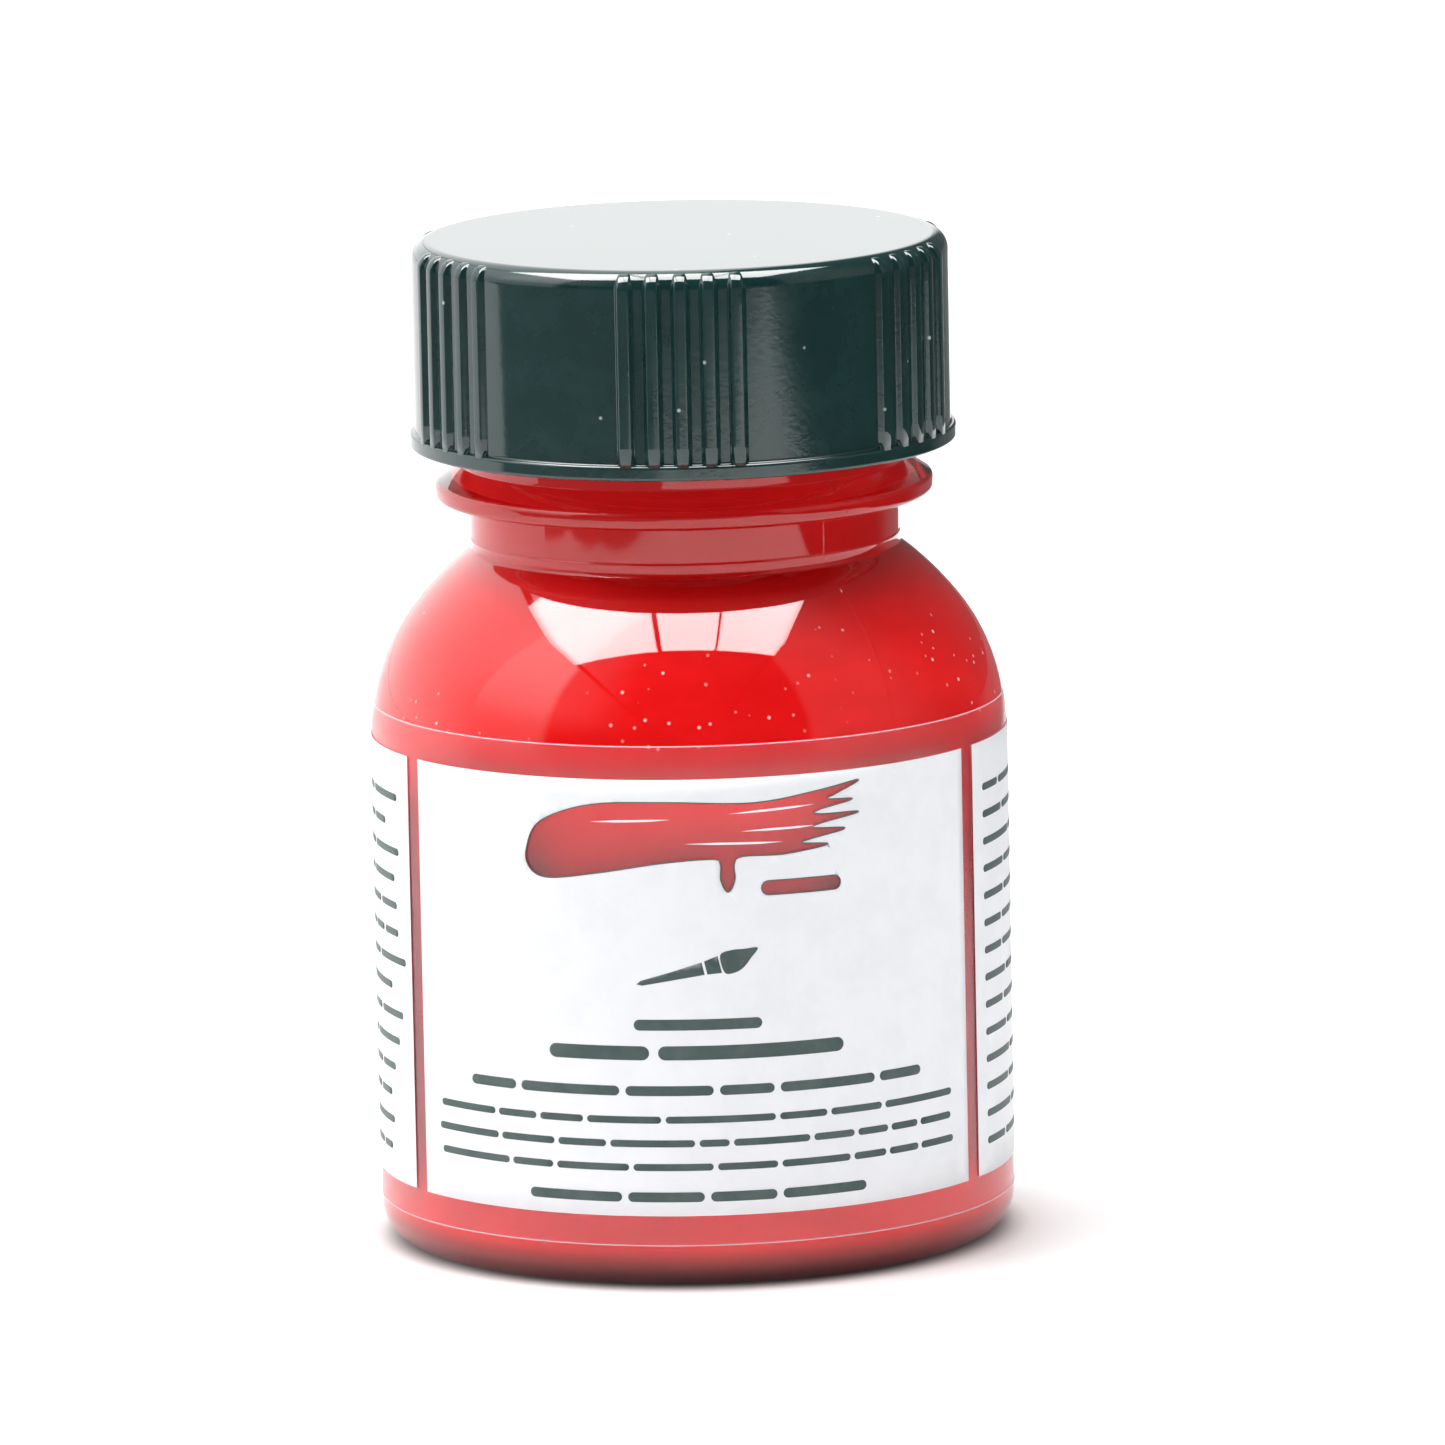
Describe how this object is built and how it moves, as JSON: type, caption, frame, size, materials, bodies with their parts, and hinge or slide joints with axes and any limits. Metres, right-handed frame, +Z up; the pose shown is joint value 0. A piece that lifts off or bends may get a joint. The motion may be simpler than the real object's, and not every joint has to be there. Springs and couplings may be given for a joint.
{
  "type": "paint jar",
  "caption": "Small clear plastic jar of acrylic paint with a rounded shoulder, a screw neck, a wrapped film label and a ribbed dark screw cap over a sealing liner.",
  "frame": {"origin": "centre of the jar's foot, on the surface it stands on", "axes": "+Z up along the jar's axis, -Y towards the front of the label, +X to the right of someone reading it"},
  "size_m": [0.0362, 0.0361, 0.0571],
  "materials": {
    "clear_plastic": "clear moulded, glossy",
    "red_paint": "wet acrylic paint, opaque",
    "label_print": "clear film with white ink, satin",
    "cap_plastic": "moulded, semi-gloss, dark green-black",
    "liner_foam": "foamed sheet, matte"
  },
  "bodies": {
    "jar": {"jar": "clear_plastic", "paint": "red_paint", "label": "label_print"},
    "liner": {"cap_liner": "liner_foam"},
    "cap": {"cap": "cap_plastic"}
  },
  "joints": [
    {"name": "cap_lift", "type": "slide", "parent": "jar", "child": "liner", "axis": [0, 0, 1], "range_m": [0, 0.0254]},
    {"name": "cap_turn", "type": "hinge", "parent": "liner", "child": "cap", "pos_m": [0, 0, 0.05], "axis": [0, 0, 1], "range_deg": [0, 2162]}
  ],
  "couplings": [
    {"joint": "cap_turn", "follows": "cap_lift", "rad_per_m": 1484.2}
  ]
}
